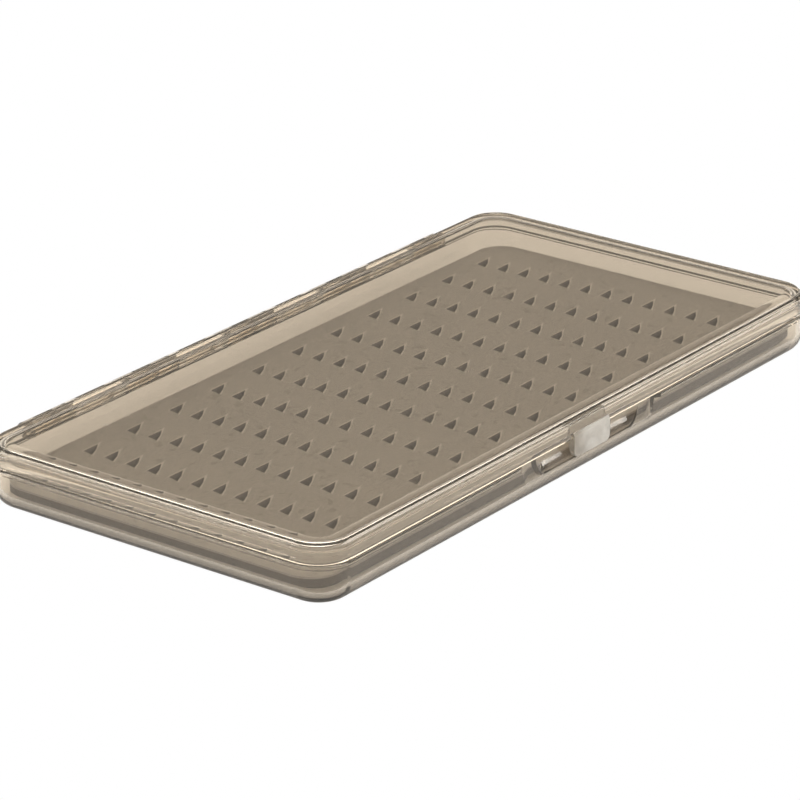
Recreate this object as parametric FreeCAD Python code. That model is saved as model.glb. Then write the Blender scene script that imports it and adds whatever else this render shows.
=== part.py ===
import FreeCAD, Part
import math
import os

# Slim fly box: a clear tray with a slit silicone mat, and a clear lid on a long pin hinge.
# Millimetres. X runs along the hinge, -Y is the latch side, Z is up from the underside.
# The origin lies under the middle of the closed box, hinge included.

# Outline that both mouldings follow, taken at the tray's rim
case_length = 187.0
case_width = 96.0
case_corner_radius = 9.0

# Tray moulding
tray_height = 9.8
tray_wall = 1.5
tray_floor = 1.8
tray_edge_radius = 4.5
rim_reach = 0.9
rim_thickness = 0.9
rim_rounding = 0.4

# Lid moulding: a lower wall on the rim, a ledge, a short upper wall and the panel
lid_height = 4.7
parting_gap = 0.1
lid_wall = 1.5
lid_panel = 1.4
lid_setback = 0.6
lid_ledge_width = 1.1
lid_upper_wall_height = 1.0
lid_ledge_rounding = 0.5
lid_top_rounding = 0.45
lid_inner_radius = 3.2

# Hinge: lid knuckles stand between the tray's, with a shorter tray knuckle at each end
lid_knuckle_count = 4
knuckle_length = 17.5
end_knuckle_length = 13.0
knuckle_gap = 0.3
knuckle_radius = 2.3
knuckle_clearance = 0.25
hinge_axis_reach = 1.9
lid_gusset_rise = 3.5
tray_window_length = 6.0
lid_window_length = 10.0
window_width = 1.2
pin_diameter = 1.4
pin_clearance = 0.05
pin_end_recess = 0.5

# Thumb scoop in the front wall, and the deeper pocket for the latch tab inside it
scoop_length = 53.0
scoop_depth = 0.5
scoop_drop = 5.2
scoop_end_radius = 6.0
pocket_length = 40.0
pocket_depth = 1.7
pocket_drop = 4.9
pocket_end_radius = 6.0

# Latch tab of the lid, its root block, and the catch bead of the tray
tab_width = 13.5
tab_length = 4.4
tab_setback = 0.1
tab_clearance = 0.4
tab_corner_radius = 1.5
tab_shoulder_rise = 1.3
tab_shoulder_slope = 0.8
root_block_depth = 1.1
root_block_height = 2.4
catch_length = 10.0
catch_drop = 2.6
catch_radius = 0.5
catch_reach = 0.3
barb_radius = 0.4
barb_offset = 0.7
latch_clearance = 0.15

# Silicone mat, its adhesive sheet, and the triangular slits
mat_length = 180.2
mat_width = 86.2
mat_corner_radius = 6.5
mat_thickness = 3.75
mat_bevel = 1.5
adhesive_thickness = 0.25
adhesive_margin = 5.0
slit_columns = 12
slit_rows = 12
slit_column_pitch = 14.4
slit_row_pitch = 6.0
slit_offset_x = -2.9
slit_offset_y = 3.5
slit_length = 5.1
slit_width = 2.8
slit_depth = 2.4
slit_skew = 0.5
slit_bulge = 0.3
slit_heel = 1.8
slit_shoulder = 1.25

# Overrun of cutting tools past the faces that they cut, and the tolerance for picking edges
overrun = 1.0
tolerance = 0.001

# Places that follow from the sizes above
case_y = -(hinge_axis_reach + knuckle_radius) / 2
front_y = case_y - case_width / 2
back_y = case_y + case_width / 2
tray_front_y = front_y + rim_reach
tray_back_y = back_y - rim_reach
lid_bottom = tray_height + parting_gap
lid_top = lid_bottom + lid_height
lid_ledge_z = lid_top - lid_upper_wall_height
panel_underside = lid_top - lid_panel
lid_front_y = front_y + lid_setback
lid_back_y = back_y - lid_setback
lid_cavity_inset = lid_setback + lid_wall
tray_cavity_inset = rim_reach + tray_wall
rim_underside = tray_height - rim_thickness
hinge_y = back_y + hinge_axis_reach
hinge_z = tray_height + parting_gap / 2
bore_radius = pin_diameter / 2 + pin_clearance
knuckle_span = (2 * lid_knuckle_count - 1) * knuckle_length
hinge_length = knuckle_span + 2 * end_knuckle_length
mat_bottom = tray_floor + adhesive_thickness
mat_top = mat_bottom + mat_thickness


def vector(x, y, z):
    return FreeCAD.Vector(x, y, z)


def is_level(edge, height):
    box = edge.BoundBox
    return abs(box.ZMin - height) < tolerance and abs(box.ZMax - height) < tolerance


def plate(length, width, corner_radius, bottom, top):
    """Plate with rounded corners, centred on the case."""
    corner = vector(-length / 2, case_y - width / 2, bottom)
    block = Part.makeBox(length, width, top - bottom, corner)
    corners = [edge for edge in block.Edges if edge.BoundBox.ZLength > tolerance]
    return block.makeFillet(corner_radius, corners)


def slab(inset, bottom, top):
    """Plate that follows the case outline, drawn in by inset."""
    return plate(case_length - 2 * inset, case_width - 2 * inset, case_corner_radius - inset, bottom, top)


def soften(solid, height, radius):
    """Round the level edges of a solid at one height."""
    return solid.makeFillet(radius, [edge for edge in solid.Edges if is_level(edge, height)])


def prism_along_x(points, length, centre_x):
    """Extrude an outline of (y, z) points along X."""
    start = centre_x - length / 2
    corners = [vector(start, y, z) for y, z in points]
    face = Part.Face(Part.makePolygon(corners + corners[:1]))
    return face.extrude(vector(length, 0, 0))


def rod(radius, length, centre_x, y, z):
    """Cylinder along X."""
    return Part.makeCylinder(radius, length, vector(centre_x - length / 2, y, z), vector(1, 0, 0))


def barrel_radius(depth, drop):
    """Radius of a round cutter that sinks depth into a wall and drop below the rim."""
    return (drop ** 2 + depth ** 2) / (2 * depth)


def recess(length, depth, drop, end_radius, edge_reach, growth):
    """Barrel-shaped cutter across the front wall, flat along its middle and rounded at its ends.

    Its length is measured where it stands edge_reach in front of the tray wall, and growth
    offsets its surface outwards.
    """
    radius = barrel_radius(depth, drop)
    axis_y = tray_front_y + depth - radius
    end = min(end_radius, radius)
    fall = min(depth + edge_reach, end)
    flat = length / 2 - math.sqrt(end ** 2 - (end - fall) ** 2)
    inner = radius - end
    outer = radius + growth
    reach = flat + end + growth
    turn = (end + growth) * math.sqrt(1 / 2)
    turn_x = flat + turn
    turn_y = axis_y + inner + turn
    side_y = axis_y + inner
    face_y = axis_y + outer
    level = tray_height
    curves = [
        Part.LineSegment(vector(-reach, axis_y, level), vector(-reach, side_y, level)),
        Part.Arc(vector(-reach, side_y, level), vector(-turn_x, turn_y, level), vector(-flat, face_y, level)),
        Part.LineSegment(vector(-flat, face_y, level), vector(flat, face_y, level)),
        Part.Arc(vector(flat, face_y, level), vector(turn_x, turn_y, level), vector(reach, side_y, level)),
        Part.LineSegment(vector(reach, side_y, level), vector(reach, axis_y, level)),
        Part.LineSegment(vector(reach, axis_y, level), vector(-reach, axis_y, level)),
    ]
    outline = Part.Wire([curve.toShape() for curve in curves])
    return Part.Face(outline).revolve(vector(0, axis_y, level), vector(1, 0, 0), 360)


def scoop_cutter():
    return recess(scoop_length, scoop_depth, scoop_drop, scoop_end_radius, rim_reach, 0)


def pocket_cutter(growth):
    return recess(pocket_length, pocket_depth, pocket_drop, pocket_end_radius, 0, growth)


def pocket_surface_y(drop):
    """Y of the pocket's face at a drop below the rim."""
    radius = barrel_radius(pocket_depth, pocket_drop)
    return tray_front_y + pocket_depth - radius + math.sqrt(radius ** 2 - drop ** 2)


def lid_knuckle_centres():
    first = -(lid_knuckle_count - 1) * knuckle_length
    return [first + 2 * knuckle_length * index for index in range(lid_knuckle_count)]


def tray_knuckle_centres():
    """Inner tray knuckles, between two lid knuckles."""
    return [centre + knuckle_length for centre in lid_knuckle_centres()[:-1]]


def end_knuckle_centre():
    return (knuckle_span + end_knuckle_length) / 2


def tangent_point(foot_y, foot_z, side):
    """Point where a line from the foot of a gusset touches the knuckle, on its outer side."""
    away = math.hypot(foot_y - hinge_y, foot_z - hinge_z)
    bearing = math.atan2(foot_z - hinge_z, foot_y - hinge_y)
    angle = bearing - side * math.acos(knuckle_radius / away)
    return hinge_y + knuckle_radius * math.cos(angle), hinge_z + knuckle_radius * math.sin(angle)


def knuckle(centre_x, length, wall_y, root_y, foot_z, parting_z, side):
    """Barrel with a gusset to the wall. side is 1 on the lid and -1 on the tray."""
    gusset = [
        (root_y, parting_z),
        (root_y, foot_z),
        (wall_y, foot_z),
        tangent_point(wall_y, foot_z, side),
        (hinge_y, parting_z),
    ]
    barrel = rod(knuckle_radius, length, centre_x, hinge_y, hinge_z)
    return barrel.fuse(prism_along_x(gusset, length, centre_x))


def tray_knuckle(centre_x, length):
    root_y = tray_back_y - tray_wall / 2
    return knuckle(centre_x, length, tray_back_y, root_y, rim_underside, tray_height, -1)


def lid_knuckle(centre_x, length):
    root_y = lid_back_y - lid_wall / 2
    return knuckle(centre_x, length, lid_back_y, root_y, hinge_z + lid_gusset_rise, lid_bottom, 1)


def knuckle_groove(centre_x, length):
    """Room in one moulding's wall for a knuckle of the other."""
    return rod(knuckle_radius + knuckle_clearance, length, centre_x, hinge_y, hinge_z)


def pin_window(centre_x, length):
    """Slot in the top of a knuckle that opens it down to the pin."""
    corner = vector(centre_x - length / 2, hinge_y - window_width / 2, hinge_z)
    return Part.makeBox(length, window_width, knuckle_radius + overrun, corner)


def hinge_bore():
    return rod(bore_radius, hinge_length + 2 * overrun, 0, hinge_y, hinge_z)


def make_tray_body():
    """Walls, floor and rim, before the latch and hinge are added."""
    outer = soften(slab(rim_reach, 0, tray_height), 0, tray_edge_radius)
    rim = soften(slab(0, rim_underside, tray_height), tray_height, rim_rounding)
    cavity = slab(tray_cavity_inset, tray_floor, tray_height + overrun)
    cavity = soften(cavity, tray_floor, tray_edge_radius - tray_wall)
    backing = pocket_cutter(tray_wall).common(outer)
    return outer.fuse(rim).cut(cavity).fuse(backing)


def make_catch():
    """Bead across the pocket that the lid's barb snaps under."""
    centre_y = pocket_surface_y(catch_drop) - catch_reach + catch_radius
    return rod(catch_radius, catch_length, 0, centre_y, tray_height - catch_drop)


def make_base_shell():
    shell = make_tray_body().cut(scoop_cutter()).cut(pocket_cutter(0)).fuse(make_catch())
    inner_length = knuckle_length - knuckle_gap
    end_length = end_knuckle_length - knuckle_gap / 2
    end_x = end_knuckle_centre() + knuckle_gap / 4
    knuckles = [tray_knuckle(centre, inner_length) for centre in tray_knuckle_centres()]
    knuckles += [tray_knuckle(end_x, end_length), tray_knuckle(-end_x, end_length)]
    grooves = [knuckle_groove(centre, knuckle_length) for centre in lid_knuckle_centres()]
    windows = [pin_window(centre, tray_window_length) for centre in tray_knuckle_centres()]
    windows += [pin_window(end_x, tray_window_length), pin_window(-end_x, tray_window_length)]
    return shell.cut(grooves).fuse(knuckles).cut(windows + [hinge_bore()]).removeSplitter()


def make_lid_body():
    """Panel and stepped wall, before the latch and hinge are added."""
    lower = slab(lid_setback, lid_bottom, lid_ledge_z)
    lower = soften(lower, lid_ledge_z, lid_ledge_rounding)
    upper = slab(lid_setback + lid_ledge_width, lid_bottom, lid_top)
    upper = soften(upper, lid_top, lid_top_rounding)
    cavity = slab(lid_cavity_inset, lid_bottom - overrun, panel_underside)
    cavity = soften(cavity, panel_underside, lid_inner_radius)
    return lower.fuse(upper).cut(cavity)


def make_tab():
    """Latch tab, its shoulder on the lid wall, and the barb on its inner face."""
    outer_y = front_y + tab_setback
    tip_z = lid_bottom - tab_length
    inner_y = lid_front_y + lid_wall
    tip_y = pocket_surface_y(tray_height - tip_z) - tab_clearance
    shoulder_z = lid_bottom + tab_shoulder_rise
    profile = [
        (inner_y, shoulder_z),
        (lid_front_y, shoulder_z),
        (outer_y, shoulder_z - tab_shoulder_slope),
        (outer_y, tip_z),
        (tip_y, tip_z),
        (inner_y, lid_bottom),
    ]
    blade = prism_along_x(profile, tab_width, 0)
    corner = vector(-tab_width / 2, outer_y, tip_z)
    face = Part.makeBox(tab_width, inner_y - outer_y, shoulder_z - tip_z, corner)
    face = face.makeFillet(tab_corner_radius, [
        edge for edge in face.Edges
        if is_level(edge, tip_z) and edge.BoundBox.YLength > tolerance
    ])
    barb_y = pocket_surface_y(catch_drop) - catch_reach - latch_clearance - barb_radius
    barb = rod(barb_radius, catch_length, 0, barb_y, tray_height - catch_drop - barb_offset)
    return blade.common(face).fuse(barb)


def make_root_block():
    """Block behind the front wall that carries the tab."""
    start_y = lid_front_y + lid_wall / 2
    depth = lid_wall / 2 + root_block_depth
    corner = vector(-tab_width / 2, start_y, lid_bottom)
    return Part.makeBox(tab_width, depth, root_block_height, corner)


def make_lid_shell():
    shell = make_lid_body().fuse([make_tab(), make_root_block()])
    length = knuckle_length - knuckle_gap
    end_x = end_knuckle_centre() + knuckle_gap / 4
    end_length = end_knuckle_length + knuckle_gap
    grooves = [knuckle_groove(centre, knuckle_length) for centre in tray_knuckle_centres()]
    grooves += [knuckle_groove(end_x, end_length), knuckle_groove(-end_x, end_length)]
    knuckles = [lid_knuckle(centre, length) for centre in lid_knuckle_centres()]
    windows = [pin_window(centre, lid_window_length) for centre in lid_knuckle_centres()]
    return shell.cut(grooves).fuse(knuckles).cut(windows + [hinge_bore()]).removeSplitter()


def make_hinge_pin():
    return rod(pin_diameter / 2, hinge_length - 2 * pin_end_recess, 0, hinge_y, hinge_z)


def make_mat_adhesive():
    """Flat sheet between the tray floor and the mat."""
    return slab(tray_cavity_inset + adhesive_margin, tray_floor, mat_bottom)


def slit_cutter():
    """Triangular slit about its own node, with its long side bowed out."""
    bottom = mat_top - slit_depth
    tip_x = slit_length - slit_heel
    low_y = slit_shoulder - slit_width
    corner = vector(-slit_heel + slit_skew, slit_shoulder, bottom)
    tip = vector(tip_x, slit_shoulder, bottom)
    heel = vector(-slit_heel, low_y, bottom)
    chord = tip.sub(heel)
    bow = vector(chord.y, -chord.x, 0).normalize() * slit_bulge
    middle = heel.add(chord * (1 / 2)).add(bow)
    outline = Part.makePolygon([heel, corner, tip, middle, heel])
    return Part.Face(outline).extrude(vector(0, 0, slit_depth + overrun))


def slit_nodes():
    first_x = slit_offset_x - (slit_columns - 1) * slit_column_pitch / 2
    first_y = case_y + slit_offset_y - (slit_rows - 1) * slit_row_pitch / 2
    return [
        vector(first_x + column * slit_column_pitch, first_y + row * slit_row_pitch, 0)
        for column in range(slit_columns) for row in range(slit_rows)
    ]


def make_slit_mat():
    """Plate cut by the slits, bevelled below to clear the tray's inner radius."""
    mat = plate(mat_length, mat_width, mat_corner_radius, mat_bottom, mat_top)
    mat = mat.makeChamfer(mat_bevel, [edge for edge in mat.Edges if is_level(edge, mat_bottom)])
    cutter = slit_cutter()
    slits = []
    for node in slit_nodes():
        slit = cutter.copy()
        slit.translate(node)
        slits.append(slit)
    return mat.cut(slits)


def export(name, shape):
    solids = shape.Solids
    print(name, "solids", len(solids), "valid", shape.isValid(), "volume", round(shape.Volume, 1))
    result = solids[0] if len(solids) == 1 else Part.makeCompound(solids)
    result.exportStep(os.path.join("parts", name + ".step"))


os.makedirs("parts", exist_ok=True)
export("base_shell", make_base_shell())
export("lid_shell", make_lid_shell())
export("hinge_pin", make_hinge_pin())
export("slit_mat", make_slit_mat())
export("mat_adhesive", make_mat_adhesive())
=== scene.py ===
import math

import bpy
from bpy.props import FloatProperty, FloatVectorProperty, PointerProperty
from bpy.types import Operator, Panel, PropertyGroup
from mathutils import Matrix, Vector


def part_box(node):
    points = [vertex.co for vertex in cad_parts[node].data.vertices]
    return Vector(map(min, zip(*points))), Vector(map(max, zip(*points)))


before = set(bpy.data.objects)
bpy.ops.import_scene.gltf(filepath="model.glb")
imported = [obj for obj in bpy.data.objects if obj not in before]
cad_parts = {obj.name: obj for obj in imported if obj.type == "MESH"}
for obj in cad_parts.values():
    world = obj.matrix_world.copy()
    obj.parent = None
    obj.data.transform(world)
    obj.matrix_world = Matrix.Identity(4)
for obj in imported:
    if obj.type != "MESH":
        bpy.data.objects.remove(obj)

bl_info = {
    "name": "Fly Box",
    "version": (1, 0, 0),
    "blender": (4, 5, 0),
    "location": "View3D > Sidebar > Fly Box",
    "description": "Dresses a slim clear fly box with a slit silicone mat and sets it in a studio",
    "category": "Object",
}

MM = 0.001

# The mat as the model has it, and its grid of triangular slits
MAT_LOW, MAT_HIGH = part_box("slit_mat")
MAT_TOP = MAT_HIGH[2]
MAT_Y = (MAT_LOW[1] + MAT_HIGH[1]) / 2
SLITS_ACROSS = 12
SLIT_PITCH_X = 14.4 * MM
SLIT_PITCH_Y = 6.0 * MM
SLIT_CORNERS = ((-1.8 * MM, -1.55 * MM), (3.3 * MM, 1.25 * MM), (-1.3 * MM, 1.25 * MM))
GRID_X = -2.9 * MM
GRID_Y = MAT_Y + 3.5 * MM
GRID_HALF_X = SLITS_ACROSS * SLIT_PITCH_X / 2
GRID_HALF_Y = SLITS_ACROSS * SLIT_PITCH_Y / 2
GRID_FADE = 0.1 * MM
# The painted highlight on the slit lips lies this far towards +x, on one side of each slit
LIP_SHIFT = 0.3 * MM

# Stretches over which a zone of a finish, or of painted light or shade, fades in, from where it is
# absent to where it is full
# Painted highlight round the slit lips
LIP_INSIDE = (0.0, 0.1 * MM)
LIP_OUTSIDE = (0.5 * MM, 0.25 * MM)
MAT_TOP_FACE = (MAT_TOP - 0.1 * MM, MAT_TOP - 0.05 * MM)
# Painted shade in the slits: darker below the mat's top, over the slit outlines
SLIT_DEPTH = (MAT_TOP - 0.02 * MM, MAT_TOP - 1.6 * MM)
SLIT_MOUTH = (0.3 * MM, 0.1 * MM)
# Painted shade on the mat's sides, below its top edge
FLANK_HEIGHT = (MAT_TOP - 0.3 * MM, MAT_TOP - 0.6 * MM)
FLANK_ENDS = (87.0 * MM, 87.6 * MM)
FLANK_SIDES = (40.6 * MM, 41.2 * MM)
TAB_ENDS = (6.9 * MM, 6.6 * MM)
TAB_FRONT = (-46.6 * MM, -47.4 * MM)
TAB_TOP = (11.3 * MM, 10.9 * MM)
TAB_MILKY_RIGHT = (-5.5 * MM, 0.0)
FACETED_RIGHT = (2.0 * MM, 5.0 * MM)
SCOOP_ENDS = (15.5 * MM, 13.5 * MM)
SCOOP_FRONT = (-43.0 * MM, -43.6 * MM)
SCOOP_FOOT = (3.6 * MM, 4.6 * MM)
SCOOP_TOP = (9.0 * MM, 8.4 * MM)

# How milky the satin is: the tab all over, more at its right end and in clouds, and the scoop
TAB_MILK_SHARE = 0.15
TAB_RIGHT_SHARE = 0.5
TAB_CLOUD_SHARE = 0.3
SCOOP_MILK_SHARE = 0.1
SCOOP_SATIN_SHARE = 0.4

# Depths of the fine relief
FACET_DEPTH = 0.6 * MM
GRAIN_DEPTH = 0.02 * MM
DRAWING_DEPTH = 0.01 * MM
WEAVE_DEPTH = 0.02 * MM
# Rise of a slit's lip, in depths of the grain
LIP_RISE = 2.0
# Half the width of a hairline, as a share of its noise's range
HAIRLINE_WIDTH = 0.006

# The room, where a height is the sine of the angle above the horizon
CEILING_RISE = (0.2, 0.75)
BAND_FOOT = (0.19, 0.27)
WINDOW_FOOT = (0.45, 0.58)
WINDOW_TOP = (0.72, 0.85)
# The window's sides, as the cosine of the level angle from its middle
WINDOW_SIDES = (0.2, 0.75)
# Least level length of a direction, so that nothing is divided by zero
SMALLEST_LEVEL = 0.0001

# The floor, just under the box
FLOOR_HALF = 4.0
FLOOR_DROP = 0.1 * MM
FLOOR_ROUGHNESS = 0.9

# The lamps, each with its name, place, width and watts
LAMPS = (
    ("key_softbox", (0.55, 0.42, 0.85), 0.8, 3.5),
    ("right_softbox", (0.95, -0.83, 0.105), 0.2, 0.8),
    ("left_softbox", (-1.03, 0.73, 0.105), 0.2, 1.2),
)

# The camera's sensor in millimetres, as Blender counts it, and its near limit
SENSOR_WIDTH = 36.0
NEAR_LIMIT = 0.01


def colour(values):
    """The three parts of a colour with full alpha."""
    return (*values[:3], 1.0)


class Value:
    """A shader socket that takes part in Python sums by adding Math nodes."""

    def __init__(self, graph, socket):
        self.graph = graph
        self.socket = socket

    def math(self, operation, *inputs):
        return self.graph.node("ShaderNodeMath", {"operation": operation}, dict(enumerate(inputs)))

    def __add__(self, other):
        return self.math("ADD", self, other)

    def __radd__(self, other):
        return self.math("ADD", other, self)

    def __sub__(self, other):
        return self.math("SUBTRACT", self, other)

    def __rsub__(self, other):
        return self.math("SUBTRACT", other, self)

    def __mul__(self, other):
        return self.math("MULTIPLY", self, other)

    def __rmul__(self, other):
        return self.math("MULTIPLY", other, self)

    def __truediv__(self, other):
        return self.math("DIVIDE", self, other)

    def __rtruediv__(self, other):
        return self.math("DIVIDE", other, self)

    def __abs__(self):
        return self.math("ABSOLUTE", self)

    def larger(self, other):
        return self.math("MAXIMUM", self, other)

    def root(self):
        return self.math("SQRT", self)

    def repeat(self, low, high):
        """Wrap the value into the stretch from low to high."""
        return self.math("WRAP", self, high, low)

    def between(self, low, high):
        """0 below low, 1 above high and smooth between, or the reverse where low is the larger."""
        if low > high:
            return 1 - self.between(high, low)
        return self.graph.node(
            "ShaderNodeMapRange", {"interpolation_type": "SMOOTHSTEP"},
            {"Value": self, "From Min": low, "From Max": high})


class Graph:
    """The node tree of one material or world, with one method that adds any node."""

    def __init__(self, owner):
        self.owner = owner
        owner.use_nodes = True
        self.tree = owner.node_tree
        self.tree.nodes.clear()

    def node(self, kind, settings=None, inputs=None, output=0):
        """Add a node with its settings and its inputs' values or links, and give one of its outputs."""
        made = self.tree.nodes.new(kind)
        for name, setting in (settings or {}).items():
            setattr(made, name, setting)
        for name, given in (inputs or {}).items():
            if isinstance(given, Value):
                self.tree.links.new(given.socket, made.inputs[name])
            else:
                made.inputs[name].default_value = given
        return Value(self, made.outputs[output]) if made.outputs else None

    def place(self):
        """Object coordinates in metres, which are the frame's own on every piece."""
        return self.node("ShaderNodeTexCoord", output="Object")

    def split(self, vector):
        """The x, y and z of a vector."""
        return [
            self.node("ShaderNodeSeparateXYZ", inputs={"Vector": vector}, output=axis)
            for axis in range(3)]

    def stretched(self, scale):
        """Object coordinates multiplied along each axis."""
        return self.node(
            "ShaderNodeVectorMath", {"operation": "MULTIPLY"}, {0: self.place(), 1: scale})

    def noise(self, scale, detail=2.0, roughness=0.5, vector=None):
        return self.node("ShaderNodeTexNoise", inputs={
            "Vector": vector or self.place(), "Scale": scale, "Detail": detail, "Roughness": roughness})

    def mix(self, amount, low, high):
        """Colour from low to high by an amount from 0 to 1. Sockets 6 and 7 are the two colours."""
        inputs = {"Factor": amount, 6: low, 7: high}
        return self.node("ShaderNodeMix", {"data_type": "RGBA"}, inputs, output=2)

    def mix_surfaces(self, amount, first, second):
        """Surface from first to second by an amount from 0 to 1."""
        return self.node("ShaderNodeMixShader", inputs={0: amount, 1: first, 2: second})

    def bump(self, height, distance, strength=1.0):
        return self.node("ShaderNodeBump", inputs={
            "Height": height, "Distance": distance, "Strength": strength})

    def principled(self, **inputs):
        return self.node("ShaderNodeBsdfPrincipled", inputs={
            name.replace("_", " "): given for name, given in inputs.items()})

    def finish(self, surface, volume=None, kind="Material"):
        """Lead the surface and any volume to the output, and give the material or world."""
        inputs = {"Surface": surface}
        if volume:
            inputs["Volume"] = volume
        self.node("ShaderNodeOutput" + kind, inputs=inputs)
        return self.owner


def hairlines(graph):
    """Sparse hairline scratches: thin bands of a stretched noise, broken up by a second one."""
    slanted = graph.stretched((1.0, 0.12, 1.0))
    across = graph.noise(scale=260.0, detail=1.0, roughness=0.4, vector=slanted)
    band = abs(across - 0.5).between(HAIRLINE_WIDTH, 0.0)
    patch = graph.noise(scale=90.0).between(0.54, 0.68)
    return band * patch


def clear_plastic(name, settings, satin, satin_tone):
    """Polished smoke-tinted moulding with handling haze, fine scratches and one satin zone."""
    graph = Graph(bpy.data.materials.new(name))
    zone, milk = satin(graph)
    handling = graph.noise(scale=42.0, detail=4.0, roughness=0.6).between(0.45, 0.8)
    finish = settings.gloss + handling * settings.haze + hairlines(graph) * settings.scratch
    finish = finish.larger(zone * settings.frosting)
    clear = graph.principled(
        Base_Color=colour(settings.tint), Roughness=finish, IOR=settings.ior,
        Transmission_Weight=settings.clearness)
    x, _, _ = graph.split(graph.place())
    facets = graph.noise(scale=330.0)
    facets = facets + x.between(*FACETED_RIGHT) * graph.noise(scale=700.0, detail=1.0)
    milky = graph.principled(
        Base_Color=colour(satin_tone), Roughness=settings.milky_gloss, IOR=settings.ior,
        Normal=graph.bump(facets, FACET_DEPTH))
    smoke = graph.node("ShaderNodeVolumeAbsorption", inputs={
        "Color": colour(settings.smoke), "Density": settings.density})
    return graph.finish(graph.mix_surfaces(milk, clear, milky), smoke)


def tab_zone(graph):
    """Where the latch tab is satin, and how milky it is there: most towards its right end."""
    x, y, z = graph.split(graph.place())
    zone = abs(x).between(*TAB_ENDS) * y.between(*TAB_FRONT) * z.between(*TAB_TOP)
    cloud = graph.noise(scale=260.0, roughness=0.6).between(0.3, 0.7)
    right = x.between(*TAB_MILKY_RIGHT)
    return zone, zone * (TAB_MILK_SHARE + right * TAB_RIGHT_SHARE + cloud * TAB_CLOUD_SHARE)


def scoop_zone(graph):
    """Where the thumb scoop of the tray is satin, and how milky it is there."""
    x, y, z = graph.split(graph.place())
    height = z.between(*SCOOP_FOOT) * z.between(*SCOOP_TOP)
    zone = abs(x).between(*SCOOP_ENDS) * y.between(*SCOOP_FRONT) * height
    return zone * SCOOP_SATIN_SHARE, zone * SCOOP_MILK_SHARE


def about_nearest(value, middle, pitch):
    """Place along one axis from the nearest slit's centre, in an even row about a middle."""
    return (value - middle + pitch / 2).repeat(-pitch / 2, pitch / 2)


def slit_distance(x, y):
    """Distance outside the nearest slit's outline, below zero inside it."""
    local_x = about_nearest(x, GRID_X, SLIT_PITCH_X)
    local_y = about_nearest(y, GRID_Y, SLIT_PITCH_Y)
    outside = None
    for (from_x, from_y), (to_x, to_y) in zip(SLIT_CORNERS, SLIT_CORNERS[1:] + SLIT_CORNERS[:1]):
        length = math.hypot(to_x - from_x, to_y - from_y)
        normal_x = (to_y - from_y) / length
        normal_y = -(to_x - from_x) / length
        side = local_x * normal_x + local_y * normal_y - (normal_x * from_x + normal_y * from_y)
        outside = side if outside is None else outside.larger(side)
    return outside


def slit_grid(x, y):
    """1 over the grid of slits and 0 beyond it."""
    across = abs(x - GRID_X).between(GRID_HALF_X, GRID_HALF_X - GRID_FADE)
    return across * abs(y - GRID_Y).between(GRID_HALF_Y, GRID_HALF_Y - GRID_FADE)


def silicone(name, settings):
    """Matt moulded silicone: cloudy tone, fine grain, raised lips round the slits with a painted
    highlight, and painted shade in the slits and on the mat's sides.
    """
    graph = Graph(bpy.data.materials.new(name))
    x, y, z = graph.split(graph.place())
    cloud = graph.noise(scale=26.0, detail=3.0, roughness=0.6).between(0.35, 0.65)
    grain = graph.noise(scale=1500.0, detail=3.0, roughness=0.65)
    speck = graph.noise(scale=420.0, detail=1.0).between(0.64, 0.72)
    distance = slit_distance(x, y)
    # Outline moved towards +x, so that the painted highlight lies on one side of each slit
    highlight_side_distance = slit_distance(x - LIP_SHIFT, y)
    lip_and_painted_highlight = distance.between(*LIP_INSIDE) * highlight_side_distance.between(*LIP_OUTSIDE) * slit_grid(x, y)
    lip_and_painted_highlight = lip_and_painted_highlight * z.between(*MAT_TOP_FACE)
    # Painted shade: the slits grow darker below the mat's top
    slit_painted_shade = z.between(*SLIT_DEPTH) * distance.between(*SLIT_MOUTH)
    # Painted shade on the sides of the mat
    flank_painted_shade = abs(x).between(*FLANK_ENDS).larger(abs(y - MAT_Y).between(*FLANK_SIDES))
    flank_painted_shade = flank_painted_shade * z.between(*FLANK_HEIGHT)
    shade = graph.mix(cloud * settings.cloudiness, colour(settings.base), colour(settings.cloud))
    shade = graph.mix(grain.between(0.35, 0.65) * settings.graininess, shade, colour(settings.pale))
    shade = graph.mix(speck * settings.speckle, shade, colour(settings.speck_and_slit_shade))
    # Painted highlight on the slit lips; the same mask also raises the lips in the bump
    shade = graph.mix(lip_and_painted_highlight * settings.lip_and_painted_highlight, shade, colour(settings.pale))
    shade = graph.mix(slit_painted_shade * settings.inside, shade, colour(settings.speck_and_slit_shade))
    shade = graph.mix(flank_painted_shade * settings.flank_painted_shade, shade, colour(settings.shadow))
    return graph.finish(graph.principled(
        Base_Color=shade,
        Roughness=settings.matt + grain * settings.grain_matt,
        Normal=graph.bump(grain + lip_and_painted_highlight * LIP_RISE, GRAIN_DEPTH, strength=0.6)))


def drawn_steel(name, settings):
    """Bright wire with fine drawing lines along its length."""
    graph = Graph(bpy.data.materials.new(name))
    lines = graph.noise(scale=900.0, roughness=0.6, vector=graph.stretched((0.03, 1.0, 1.0)))
    dulled = graph.noise(scale=120.0, detail=3.0, roughness=0.6).between(0.45, 0.75)
    shade = graph.mix(dulled * settings.dulling, colour(settings.bright), colour(settings.dull))
    return graph.finish(graph.principled(
        Base_Color=shade,
        Metallic=1.0,
        Roughness=settings.gloss + lines * settings.drawing + dulled * settings.dull_matt,
        Normal=graph.bump(lines, DRAWING_DEPTH, strength=0.5)))


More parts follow.
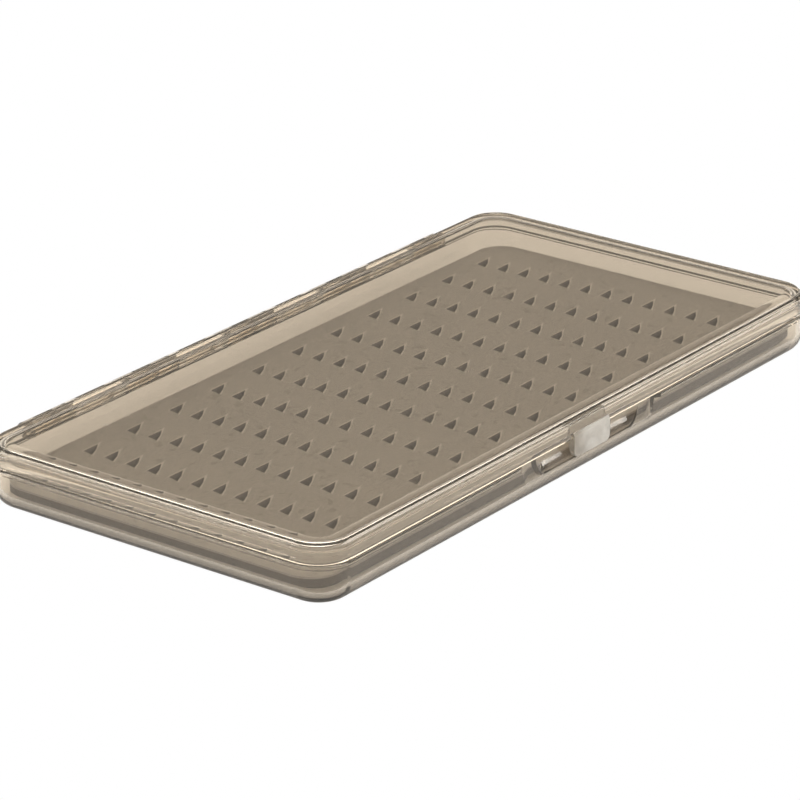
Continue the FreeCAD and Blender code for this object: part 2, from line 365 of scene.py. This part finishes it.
def bonding_tape(name, settings):
    """Pale double-sided tape with small trapped bubbles and a fine weave."""
    graph = Graph(bpy.data.materials.new(name))
    bubbles = graph.noise(scale=300.0, detail=1.0, roughness=0.4).between(0.62, 0.7)
    weave = graph.noise(scale=1400.0)
    shade = graph.mix(weave * settings.weave, colour(settings.base), colour(settings.fibre))
    shade = graph.mix(bubbles * settings.bubbling, shade, colour(settings.bubble))
    return graph.finish(graph.principled(
        Base_Color=shade,
        Roughness=settings.matt + weave * settings.weave_matt,
        Normal=graph.bump(weave + bubbles, WEAVE_DEPTH, strength=0.5)))


def dress(node, material):
    """Give every face of a node of the model one material."""
    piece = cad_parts[node]
    if not piece.material_slots:
        piece.data.materials.append(material)
    for slot in piece.material_slots:
        slot.material = material


def tone(label, about, default):
    return FloatVectorProperty(
        name=label, description=about, subtype="COLOR", size=3, min=0.0, max=1.0, default=default)


def share(label, about, default, high=1.0):
    return FloatProperty(
        name=label, description=about, subtype="FACTOR", min=0.0, max=high, default=default)


class FlyBoxPlastic(PropertyGroup):
    """Clear plastic of the tray and the lid"""
    tint: tone("Surface Tint", "Tint that each surface gives the light", (0.90, 0.845, 0.765))
    frost: tone("Satin Tab", "Colour of the satin latch tab", (0.72, 0.70, 0.66))
    scoop: tone("Satin Scoop", "Colour of the satin thumb scoop", (0.74, 0.62, 0.48))
    smoke: tone("Smoke Colour", "Colour that the plastic takes as it gets thicker", (0.82, 0.755, 0.66))
    density: FloatProperty(
        name="Smoke Density", description="How fast light is lost inside the plastic, per metre",
        min=0.0, default=60.0)
    gloss: share("Polish", "Roughness of the clean polished surface", 0.012)
    haze: share("Handling Haze", "Roughness that handling adds in patches", 0.02)
    scratch: share("Scratches", "Roughness along the hairline scratches", 0.25)
    frosting: share("Frosting", "Roughness of the satin latch tab and scoop", 0.3)
    milky_gloss: share("Milky Gloss", "Roughness where the satin is milky", 0.18)
    clearness: share("Clearness", "Share of the light that passes instead of scattering", 0.96)
    ior: FloatProperty(
        name="Refraction", description="Index of refraction of the plastic", min=1.0, default=1.5)


class FlyBoxMat(PropertyGroup):
    """Silicone mat"""
    base: tone("Silicone", "Main colour of the silicone", (0.40, 0.38, 0.355))
    cloud: tone("Cloud", "Colour of the cloudy patches", (0.365, 0.345, 0.325))
    # Also the colour of the painted highlight on the slit lips
    pale: tone("Pale Grain", "Colour of the pale grain and of the slit lips", (0.60, 0.57, 0.53))
    # Also the colour of the painted shade at the slit bottoms
    speck_and_slit_shade: tone("Deep Tone", "Colour of the dark specks and of the slit bottoms", (0.165, 0.14, 0.108))
    shadow: tone("Shadow Tone", "Colour of the shaded sides of the mat", (0.078, 0.06, 0.043))
    # Strength of the painted highlight on the slit lips
    lip_and_painted_highlight: share("Lip", "How pale the lips of the slits are", 0.9)
    # Strength of the painted shade at the slit bottoms
    inside: share("Slit Shade", "How dark the bottoms of the slits are", 0.5)
    # Strength of the painted shade on the mat's sides
    flank_painted_shade: share("Flank Shade", "How dark the sides of the mat are", 0.95)
    cloudiness: share("Cloudiness", "Strength of the cloudy patches", 0.35)
    graininess: share("Graininess", "Strength of the pale grain", 0.3)
    speckle: share("Speckle", "Strength of the dark specks", 0.25)
    matt: share("Mattness", "Roughness of the silicone", 0.52)
    grain_matt: share("Grain Mattness", "Roughness that the grain adds", 0.16)


class FlyBoxTape(PropertyGroup):
    """Tape under the mat"""
    base: tone("Tape", "Colour of the tape", (0.62, 0.59, 0.52))
    fibre: tone("Fibre", "Colour of the tape's carrier", (0.74, 0.72, 0.66))
    bubble: tone("Bubbles", "Colour of the trapped bubbles", (0.45, 0.42, 0.36))
    weave: share("Weave", "Strength of the carrier's colour along the weave", 0.4)
    bubbling: share("Bubbling", "Strength of the trapped bubbles", 0.5)
    matt: share("Mattness", "Roughness of the tape", 0.38)
    weave_matt: share("Weave Mattness", "Roughness that the weave adds", 0.2)


class FlyBoxPin(PropertyGroup):
    """Hinge pin"""
    bright: tone("Bright Steel", "Colour of the clean wire", (0.72, 0.70, 0.67))
    dull: tone("Dull Steel", "Colour where the wire is dulled", (0.52, 0.49, 0.45))
    dulling: share("Dulling", "How far the dulled places go towards dull steel", 0.4)
    gloss: share("Polish", "Roughness of the clean wire", 0.16)
    drawing: share("Drawing Lines", "Roughness along the drawing lines", 0.12)
    dull_matt: share("Dull Mattness", "Roughness that dulling adds", 0.08)


class FlyBoxStudio(PropertyGroup):
    """Floor, lights and camera"""
    aim: FloatVectorProperty(
        name="Aim", description="Point that the camera looks at",
        subtype="TRANSLATION", unit="LENGTH", size=3, default=(-2.13 * MM, 0.60 * MM, 5.2 * MM))
    distance: FloatProperty(
        name="Distance", description="Camera distance from the aim point",
        unit="LENGTH", default=926.03 * MM)
    azimuth: FloatProperty(
        name="Azimuth", description="Direction of the camera round the box",
        subtype="ANGLE", default=math.radians(-52.812))
    elevation: FloatProperty(
        name="Elevation", description="Height of the camera above the horizon",
        subtype="ANGLE", default=math.radians(22.232))
    roll: FloatProperty(
        name="Roll", description="Turn of the camera about its own line of sight",
        subtype="ANGLE", default=math.radians(-0.242))
    lens: FloatProperty(name="Lens", description="Focal length on a 36 mm sensor", default=186.78)
    floor_tone: tone("Floor", "Colour of the floor", (0.6, 0.6, 0.6))
    floor_glow: FloatProperty(
        name="Floor Glow", description="Light that the lit floor gives off", min=0.0, default=0.22)
    back: FloatProperty(
        name="Back", description="Direction of the window behind the box",
        subtype="ANGLE", default=math.radians(37.2))
    horizon: share("Horizon", "Brightness of the room near the horizon", 0.25, 4.0)
    ceiling: share("Ceiling", "Brightness of the ceiling", 1.5, 4.0)
    skirting: share("Skirting", "Brightness low on the wall behind the box", 0.45, 4.0)
    shade: share("Shade", "Brightness of the dark band of the wall behind the box", 0.12, 4.0)
    window: share("Window", "Brightness of the window above the dark band", 1.5, 8.0)
    warmth: tone("Warmth", "Colour of the lamps", (1.0, 0.96, 0.9))


class FLYBOX_OT_tray(Operator):
    """Finish the tray in clear smoke-tinted plastic"""
    bl_idname = "flybox.tray"
    bl_label = "Tray"

    def execute(self, context):
        settings = context.scene.flybox_plastic
        dress("base_shell", clear_plastic("tray_smoke_plastic", settings, scoop_zone, settings.scoop))
        return {"FINISHED"}


class FLYBOX_OT_lid(Operator):
    """Finish the lid in clear smoke-tinted plastic with a frosted latch tab"""
    bl_idname = "flybox.lid"
    bl_label = "Lid"

    def execute(self, context):
        settings = context.scene.flybox_plastic
        dress("lid_shell", clear_plastic("lid_smoke_plastic", settings, tab_zone, settings.frost))
        return {"FINISHED"}


class FLYBOX_OT_mat(Operator):
    """Finish the slit mat in matt silicone"""
    bl_idname = "flybox.mat"
    bl_label = "Silicone Mat"

    def execute(self, context):
        dress("slit_mat", silicone("taupe_silicone", context.scene.flybox_mat))
        return {"FINISHED"}


class FLYBOX_OT_tape(Operator):
    """Finish the tape that bonds the mat to the tray"""
    bl_idname = "flybox.tape"
    bl_label = "Bonding Tape"

    def execute(self, context):
        dress("mat_adhesive", bonding_tape("bonding_tape", context.scene.flybox_tape))
        return {"FINISHED"}


class FLYBOX_OT_pin(Operator):
    """Finish the hinge pin in drawn steel"""
    bl_idname = "flybox.pin"
    bl_label = "Hinge Pin"

    def execute(self, context):
        dress("hinge_pin", drawn_steel("drawn_steel", context.scene.flybox_pin))
        return {"FINISHED"}


def lay_floor(scene, settings):
    """Plain pale floor: shadowless white where the camera sees it, softly lit where the box does."""
    turns = ((-1, -1), (1, -1), (1, 1), (-1, 1))
    corners = [(x * FLOOR_HALF, y * FLOOR_HALF, 0) for x, y in turns]
    mesh = bpy.data.meshes.new("studio_floor")
    mesh.from_pydata(corners, [], [(0, 1, 2, 3)])
    floor = bpy.data.objects.new("studio_floor", mesh)
    floor.location.z = -FLOOR_DROP
    scene.collection.objects.link(floor)
    graph = Graph(bpy.data.materials.new("pale_floor"))
    lit = graph.principled(
        Base_Color=colour(settings.floor_tone),
        Roughness=FLOOR_ROUGHNESS,
        Specular_IOR_Level=0.0,
        Emission_Color=colour(settings.warmth),
        Emission_Strength=settings.floor_glow)
    white = graph.node("ShaderNodeEmission", inputs={"Color": (1.0, 1.0, 1.0, 1.0), "Strength": 1.0})
    camera_ray = graph.node("ShaderNodeLightPath")
    mesh.materials.append(graph.finish(graph.mix_surfaces(camera_ray, lit, white)))


def light_room(scene, settings):
    """Soft room: a dim wall under a bright ceiling, and behind the box a window above a dark band."""
    graph = Graph(bpy.data.worlds.new("studio_world"))
    x, y, height = graph.split(graph.node("ShaderNodeTexCoord", output="Generated"))
    level = (1 - height * height).larger(SMALLEST_LEVEL).root()
    behind = (x * math.cos(settings.back) + y * math.sin(settings.back)) / level
    around = settings.horizon + height.between(*CEILING_RISE) * (settings.ceiling - settings.horizon)
    wall = settings.skirting + height.between(*BAND_FOOT) * (settings.shade - settings.skirting)
    wall = wall + height.between(*WINDOW_FOOT) * (settings.window - settings.shade)
    wall = wall + height.between(*WINDOW_TOP) * (settings.ceiling - settings.window)
    strength = around + behind.between(*WINDOW_SIDES) * (wall - around)
    scene.world = graph.finish(graph.node("ShaderNodeBackground", inputs={
        "Color": colour(settings.warmth), "Strength": strength}), kind="World")


def hang_lamp(scene, settings, name, place, width, watts):
    """Square soft lamp that faces the box."""
    light = bpy.data.lights.new(name, "AREA")
    light.size = width
    light.energy = watts
    light.color = settings.warmth
    lamp = bpy.data.objects.new(name, light)
    lamp.location = place
    lamp.rotation_mode = "QUATERNION"
    lamp.rotation_quaternion = (-Vector(place)).to_track_quat("-Z", "Y")
    scene.collection.objects.link(lamp)


def aim_camera(scene, settings):
    """Camera at the photograph's viewing angle."""
    data = bpy.data.cameras.new("photo_camera")
    data.lens = settings.lens
    data.sensor_width = SENSOR_WIDTH
    data.clip_start = NEAR_LIMIT
    camera = bpy.data.objects.new("photo_camera", data)
    scene.collection.objects.link(camera)
    back = Vector((
        math.sin(settings.azimuth) * math.cos(settings.elevation),
        -math.cos(settings.azimuth) * math.cos(settings.elevation),
        math.sin(settings.elevation)))
    right = Vector((math.cos(settings.azimuth), math.sin(settings.azimuth), 0))
    up = back.cross(right)
    across = math.cos(settings.roll) * right + math.sin(settings.roll) * up
    above = math.cos(settings.roll) * up - math.sin(settings.roll) * right
    turn = Matrix((across, above, back)).transposed()
    place = Vector(settings.aim) + back * settings.distance
    camera.matrix_world = Matrix.Translation(place) @ turn.to_4x4()
    scene.camera = camera


class FLYBOX_OT_studio(Operator):
    """Set the pale floor, the soft lights and the camera"""
    bl_idname = "flybox.studio"
    bl_label = "Studio"

    def execute(self, context):
        scene = context.scene
        settings = scene.flybox_studio
        lay_floor(scene, settings)
        light_room(scene, settings)
        for lamp in LAMPS:
            hang_lamp(scene, settings, *lamp)
        aim_camera(scene, settings)
        scene.view_settings.view_transform = "Standard"
        return {"FINISHED"}


class FLYBOX_PT_panel(Panel):
    """Fly box tools"""
    bl_idname = "FLYBOX_PT_panel"
    bl_label = "Fly Box"
    bl_space_type = "VIEW_3D"
    bl_region_type = "UI"
    bl_category = "Fly Box"

    def draw(self, context):
        for operator in OPERATORS:
            self.layout.operator(operator.bl_idname)


SETTINGS = {
    "flybox_plastic": FlyBoxPlastic,
    "flybox_mat": FlyBoxMat,
    "flybox_tape": FlyBoxTape,
    "flybox_pin": FlyBoxPin,
    "flybox_studio": FlyBoxStudio,
}
OPERATORS = (
    FLYBOX_OT_tray, FLYBOX_OT_lid, FLYBOX_OT_mat, FLYBOX_OT_tape, FLYBOX_OT_pin, FLYBOX_OT_studio)
CLASSES = (*SETTINGS.values(), *OPERATORS, FLYBOX_PT_panel)


def register():
    for made in CLASSES:
        bpy.utils.register_class(made)
    for name, group in SETTINGS.items():
        setattr(bpy.types.Scene, name, PointerProperty(type=group))


def unregister():
    for name in SETTINGS:
        delattr(bpy.types.Scene, name)
    for made in reversed(CLASSES):
        bpy.utils.unregister_class(made)


def main():
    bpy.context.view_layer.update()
    register()
    bpy.ops.flybox.tray()
    bpy.ops.flybox.lid()
    bpy.ops.flybox.mat()
    bpy.ops.flybox.tape()
    bpy.ops.flybox.pin()
    bpy.ops.flybox.studio()


if __name__ == "__main__":
    main()
